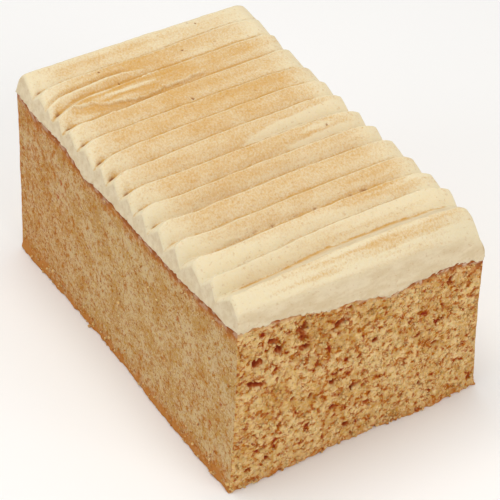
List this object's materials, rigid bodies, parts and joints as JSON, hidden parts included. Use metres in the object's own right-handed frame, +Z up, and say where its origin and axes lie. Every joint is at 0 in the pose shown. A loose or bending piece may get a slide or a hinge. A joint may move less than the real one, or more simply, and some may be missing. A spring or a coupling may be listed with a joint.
{
  "type": "coffee cake",
  "caption": "Slab-cut block of plain coffee sponge under a thick layer of coffee icing combed into rounded cross ridges, one end left as open crumb.",
  "frame": {"origin": "middle of the flat base that the cake stands on", "axes": "+X along the length towards the open-crumb end, +Y across the width along the icing's ridges, away from the knife-cut long side, +Z up"},
  "size_m": [0.122, 0.0826, 0.0644],
  "materials": {
    "sponge": "baked sponge crumb, dry and porous, golden tan with brown pores and an orange-brown crust above and below",
    "icing": "soft coffee icing, pale cream on the ridge tops and tan in the grooves, with fine pits"
  },
  "bodies": {
    "root": {"sponge": "sponge", "icing": "icing"}
  },
  "joints": []
}
